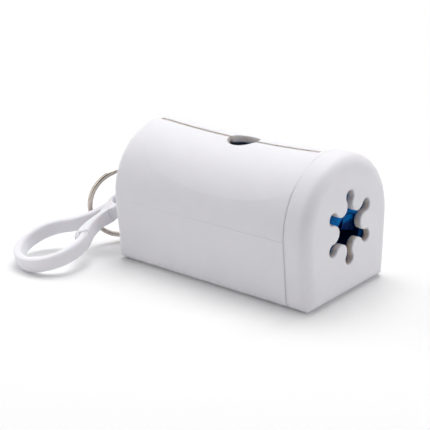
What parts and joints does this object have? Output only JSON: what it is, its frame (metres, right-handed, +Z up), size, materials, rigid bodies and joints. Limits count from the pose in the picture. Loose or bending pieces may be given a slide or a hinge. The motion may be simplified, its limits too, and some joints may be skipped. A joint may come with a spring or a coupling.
{
  "type": "dog poop bag dispenser",
  "caption": "D-shaped plastic case that feeds bags from a roll through a slit in its crest, with a pull-off cap, a split ring and a swivel snap hook for a leash.",
  "frame": {"origin": "middle of the case's flat underside, with the cap on", "axes": "+X along the roll towards the cap, +Y towards the side away from the hook, +Z up through the slit"},
  "size_m": [0.0984, 0.0649, 0.0408],
  "materials": {
    "case_plastic": "satin moulded white",
    "hook_plastic": "satin moulded white",
    "bag_film": "rolled blue film",
    "ring_steel": "nickel-plated steel"
  },
  "bodies": {
    "case": {"case_tube": "case_plastic"},
    "cap": {"end_cap": "case_plastic"},
    "roll": {"bag_roll": "bag_film"},
    "ring": {"split_ring": "ring_steel"},
    "eye": {"swivel_eye": "hook_plastic"},
    "hook": {"snap_hook": "hook_plastic"},
    "gate": {"hook_gate": "hook_plastic"}
  },
  "joints": [
    {"name": "cap_pull", "type": "slide", "parent": "case", "child": "cap", "axis": [1, 0, 0], "range_m": [0, 0.03]},
    {"name": "roll_turn", "type": "hinge", "parent": "case", "child": "roll", "pos_m": [0.003, 0.00234, 0.01745], "axis": [1, 0, 0], "continuous": true},
    {"name": "ring_swing", "type": "hinge", "parent": "case", "child": "ring", "pos_m": [-0.04132, 0.00117, 0.007], "axis": [0, 0, 1], "range_deg": [-130, 4]},
    {"name": "eye_travel", "type": "hinge", "parent": "ring", "child": "eye", "pos_m": [-0.04562, -0.00658, 0.0129], "axis": [0.8746, -0.4848, 0], "range_deg": [-28, 60]},
    {"name": "hook_swivel", "type": "hinge", "parent": "eye", "child": "hook", "pos_m": [-0.04168, -0.00342, 0.01522], "axis": [0.2665, 0.9173, 0.296], "continuous": true},
    {"name": "gate_press", "type": "hinge", "parent": "hook", "child": "gate", "pos_m": [-0.04377, -0.01544, 0.01146], "axis": [-0.0826, -0.2842, 0.9552], "range_deg": [-22, 0], "stiffness_Nm_per_rad": 0.05}
  ]
}
